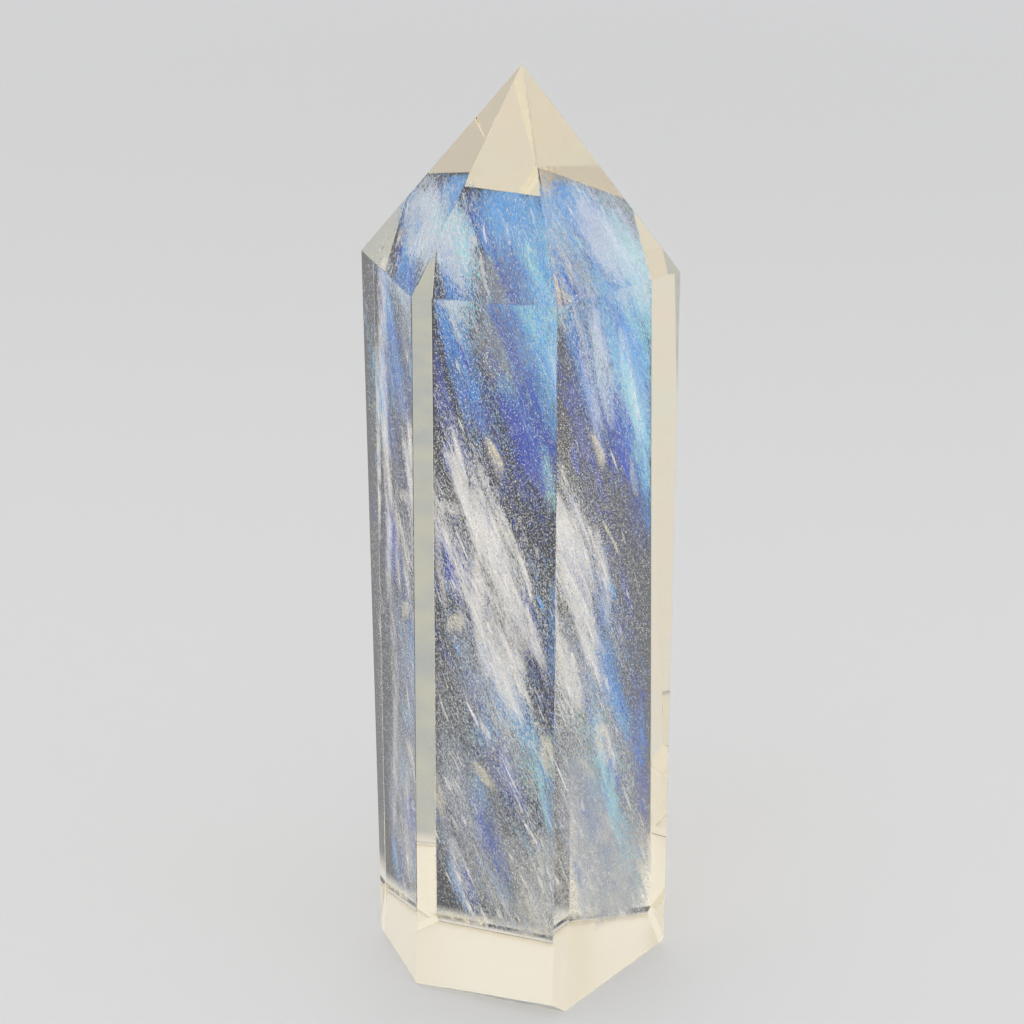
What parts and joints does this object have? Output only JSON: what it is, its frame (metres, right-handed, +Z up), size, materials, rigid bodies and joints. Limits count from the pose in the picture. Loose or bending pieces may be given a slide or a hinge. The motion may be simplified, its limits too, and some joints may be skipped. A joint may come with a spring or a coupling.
{
  "type": "clear quartz obelisk",
  "caption": "Polished clear quartz point: an uneven six-sided prism that tapers to a faceted tip and stands on its flat ground base.",
  "frame": {"origin": "on the ground base, under the middle of the solid's box", "axes": "+Z up along the crystal, towards its tip; the wide front face looks towards -Y"},
  "size_m": [0.0582, 0.0516, 0.1798],
  "materials": {
    "clear_quartz": "polished clear quartz, faint cream tint, with silky white and blue inclusions inside"
  },
  "bodies": {
    "root": {"obelisk": "clear_quartz"}
  },
  "joints": []
}
